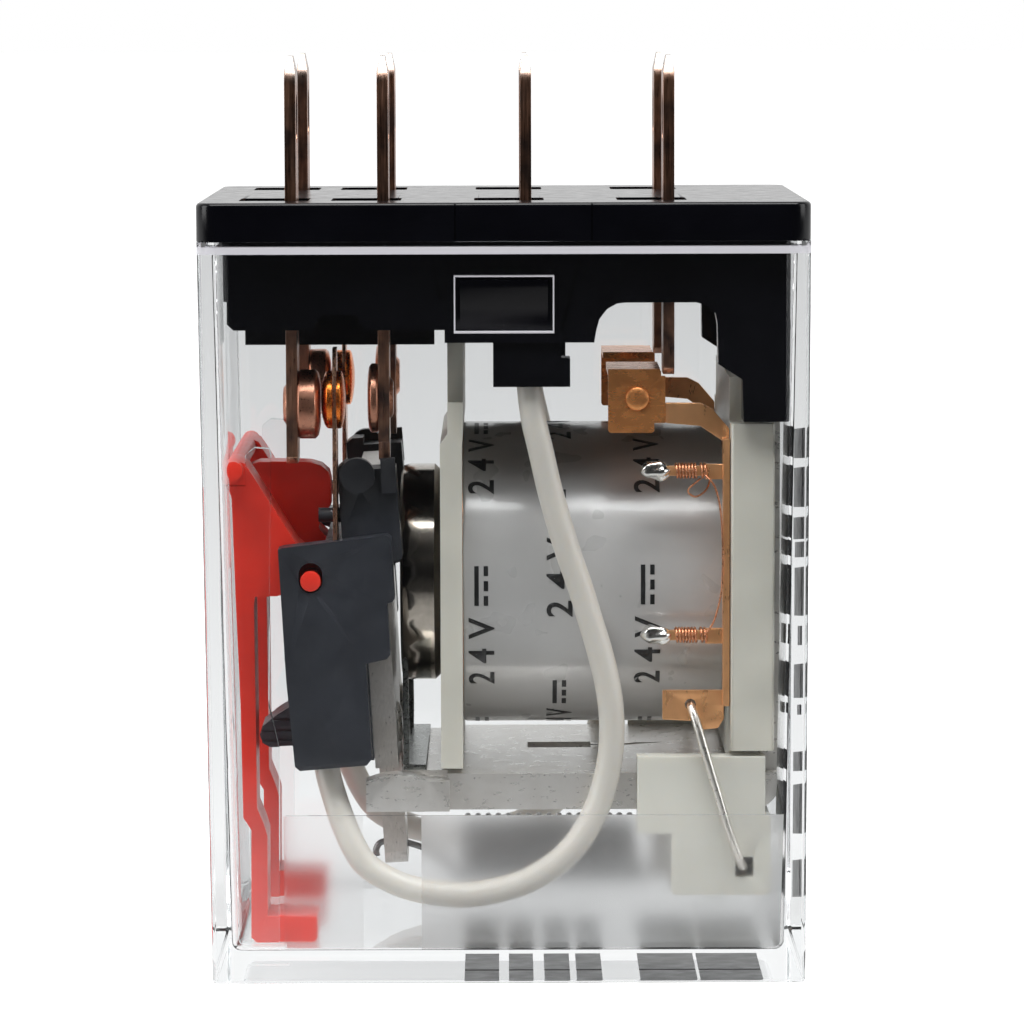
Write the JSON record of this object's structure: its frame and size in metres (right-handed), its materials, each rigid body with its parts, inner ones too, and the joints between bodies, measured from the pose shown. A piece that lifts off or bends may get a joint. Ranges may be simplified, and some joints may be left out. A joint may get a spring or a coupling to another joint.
{
  "type": "plug in relay",
  "caption": "Plug-in relay with flat blades, clear cover, visible coil, armature with contact carrier and a red indicator lever.",
  "frame": {"origin": "centre of the base flange's seating face, the face the blades stand out of", "axes": "+Z out of the base along the blades, +X along the rows of blades from the contact end to the coil end, +Y across the two poles"},
  "size_m": [0.027, 0.0212, 0.0413],
  "materials": {
    "base_black": "moulded, semi gloss black",
    "cover_clear": "clear moulded plastic, lower part of the front wall frosted",
    "blade_copper": "copper alloy with tinned tips",
    "fixed_contact": "contact alloy, satin",
    "moving_contact": "contact alloy, polished",
    "spring_bronze": "rolled bronze strip",
    "yoke_nickel": "nickel plated, satin",
    "core_nickel": "plated, polished",
    "armature_steel": "nickel plated, sheared edges",
    "retainer_steel": "dark rolled steel",
    "bobbin_ivory": "moulded ivory",
    "winding_copper": "enamelled copper wire",
    "tape_silver": null,
    "carrier_dark": "moulded dark slate",
    "lever_red": "moulded red",
    "lug_copper": "bright copper sheet",
    "strip_bronze": "bronze strip",
    "wrap_copper": "enamelled copper wire",
    "solder": "bright solder",
    "holder_ivory": "moulded ivory",
    "lamp_lens": "clear lens",
    "resistor_body": "lacquered",
    "lead_tinned": "tinned wire",
    "spring_steel": "drawn spring wire",
    "sleeve_ivory": "soft extruded sleeve"
  },
  "bodies": {
    "relay_frame": {"armature_retainer": "retainer_steel", "base": "base_black", "bobbin": "bobbin_ivory", "coil_lug_front": "lug_copper", "coil_lug_rear": "lug_copper", "coil_lug_rivets": "lug_copper", "coil_strip_front": "strip_bronze", "coil_strip_rear": "strip_bronze", "coil_tape": "tape_silver", "coil_winding": "winding_copper", "coil_wire_wraps": "wrap_copper", "contact_nc_front": "fixed_contact", "contact_nc_rear": "fixed_contact", "contact_no_front": "fixed_contact", "contact_no_rear": "fixed_contact", "core": "core_nickel", "cover": "cover_clear", "lamp": "lamp_lens", "lamp_holder": "holder_ivory", "lamp_lead": "lead_tinned", "lead_sleeve_front": "sleeve_ivory", "lead_sleeve_rear": "sleeve_ivory", "resistor": "resistor_body", "resistor_lead": "lead_tinned", "return_spring": "spring_steel", "solder_joints": "solder", "terminal_coil_front": "blade_copper", "terminal_coil_rear": "blade_copper", "terminal_com_front": "blade_copper", "terminal_com_rear": "blade_copper", "terminal_nc_front": "blade_copper", "terminal_nc_rear": "blade_copper", "terminal_no_front": "blade_copper", "terminal_no_rear": "blade_copper", "yoke": "yoke_nickel"},
    "armature_group": {"armature": "armature_steel", "contact_carrier": "carrier_dark", "armature_rivets": "retainer_steel", "moving_spring_front": "spring_bronze", "moving_spring_rear": "spring_bronze", "moving_contact_front": "moving_contact", "moving_contact_rear": "moving_contact"},
    "indicator": {"indicator_lever": "lever_red"}
  },
  "joints": [
    {"name": "armature_pivot", "type": "hinge", "parent": "relay_frame", "child": "armature_group", "pos_m": [-0.00479, 0, -0.0259], "axis": [0, 1, 0], "range_deg": [0, 3.25], "deforming": ["return_spring", "lead_sleeve_front", "lead_sleeve_rear"]},
    {"name": "indicator_pivot", "type": "hinge", "parent": "relay_frame", "child": "indicator", "pos_m": [-0.0121, 0, -0.01202], "axis": [0, -1, 0], "range_deg": [0, 6.2]}
  ],
  "couplings": [
    {"joint": "indicator_pivot", "follows": "armature_pivot", "ratio": 1.9}
  ]
}
